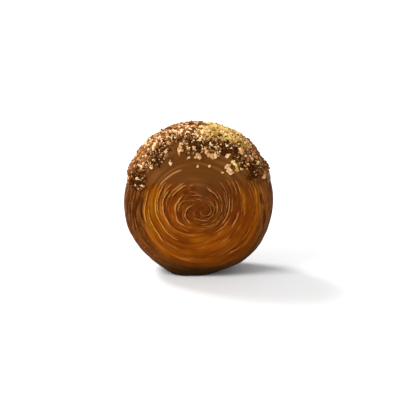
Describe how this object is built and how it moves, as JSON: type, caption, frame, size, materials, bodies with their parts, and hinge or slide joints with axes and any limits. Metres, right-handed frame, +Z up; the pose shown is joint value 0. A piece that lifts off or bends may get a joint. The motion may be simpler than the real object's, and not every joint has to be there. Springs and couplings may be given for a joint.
{
  "type": "spiral croissant roll",
  "caption": "Round spiral croissant of laminated dough standing on its rim, its top dipped in chocolate icing and set with chopped hazelnuts.",
  "frame": {"origin": "middle of the flat spot on the rim that the roll stands on", "axes": "+Z up, +Y from the front face to the back face along the coil's axis, +X to the right seen from the front"},
  "size_m": [0.1073, 0.0536, 0.1083],
  "materials": {
    "pastry": "glossy browned crust with paler crisp edges on the layers",
    "icing": "satin milk chocolate",
    "hazelnut": "matte chopped nut"
  },
  "bodies": {
    "root": {"pastry_roll": "pastry", "chocolate_icing": "icing"}
  },
  "joints": []
}
